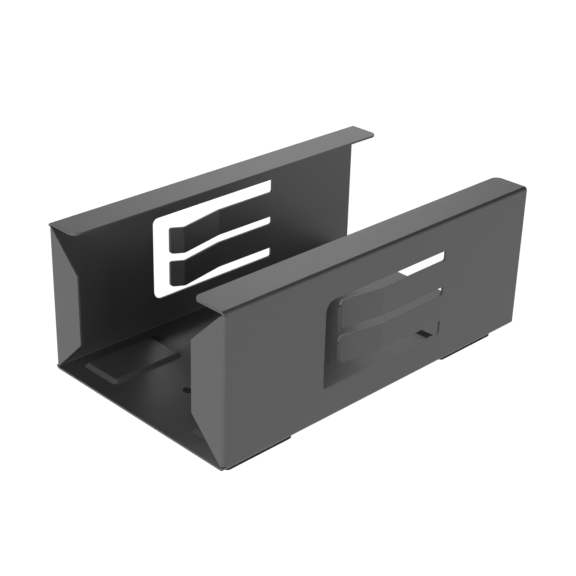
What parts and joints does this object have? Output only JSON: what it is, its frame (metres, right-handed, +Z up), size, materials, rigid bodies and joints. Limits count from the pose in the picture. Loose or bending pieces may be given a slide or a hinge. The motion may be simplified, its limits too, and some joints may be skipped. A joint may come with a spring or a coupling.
{
  "type": "magnetic glove box holder",
  "caption": "Open-ended sheet-steel tray with inward lips, sprung side fingers and magnetic feet that holds a glove or tissue box on a steel surface.",
  "frame": {"origin": "on the surface the magnet feet stand on, under the middle of the tray", "axes": "+X to the right wall, +Y from the flanged front to the open rear, +Z up"},
  "size_m": [0.1366, 0.23, 0.0968],
  "materials": {
    "powder_coat": "satin fine-texture powder coat",
    "jacket_rubber": "matt black rubber",
    "ferrite": "dark sintered ferrite",
    "zinc_steel": "zinc plated",
    "foam_adhesive": "acrylic foam tape"
  },
  "bodies": {
    "holder": {"folded_tray": "powder_coat", "magnet_jacket_front_left": "jacket_rubber", "magnet_block_front_left": "ferrite", "pole_plate_front_left": "zinc_steel", "adhesive_pad_front_left": "foam_adhesive", "magnet_jacket_front_right": "jacket_rubber", "magnet_block_front_right": "ferrite", "pole_plate_front_right": "zinc_steel", "adhesive_pad_front_right": "foam_adhesive", "magnet_jacket_rear_left": "jacket_rubber", "magnet_block_rear_left": "ferrite", "pole_plate_rear_left": "zinc_steel", "adhesive_pad_rear_left": "foam_adhesive", "magnet_jacket_rear_right": "jacket_rubber", "magnet_block_rear_right": "ferrite", "pole_plate_rear_right": "zinc_steel", "adhesive_pad_rear_right": "foam_adhesive"},
    "finger_left_lower": {"spring_finger_left_lower": "powder_coat"},
    "finger_left_upper": {"spring_finger_left_upper": "powder_coat"},
    "finger_right_lower": {"spring_finger_right_lower": "powder_coat"},
    "finger_right_upper": {"spring_finger_right_upper": "powder_coat"}
  },
  "joints": [
    {"name": "left_lower_flex", "type": "hinge", "parent": "holder", "child": "finger_left_lower", "pos_m": [-0.0674, 0.0455, 0.04177], "axis": [0, 0, -1], "range_deg": [0, 4.2], "stiffness_Nm_per_rad": 17},
    {"name": "left_upper_flex", "type": "hinge", "parent": "holder", "child": "finger_left_upper", "pos_m": [-0.0674, 0.0455, 0.06263], "axis": [0, 0, -1], "range_deg": [0, 4.2], "stiffness_Nm_per_rad": 17},
    {"name": "right_lower_flex", "type": "hinge", "parent": "holder", "child": "finger_right_lower", "pos_m": [0.0674, 0.0455, 0.04418], "axis": [0, 0, 1], "range_deg": [0, 3.3], "stiffness_Nm_per_rad": 17},
    {"name": "right_upper_flex", "type": "hinge", "parent": "holder", "child": "finger_right_upper", "pos_m": [0.0674, 0.0455, 0.06502], "axis": [0, 0, 1], "range_deg": [0, 3.3], "stiffness_Nm_per_rad": 17}
  ]
}
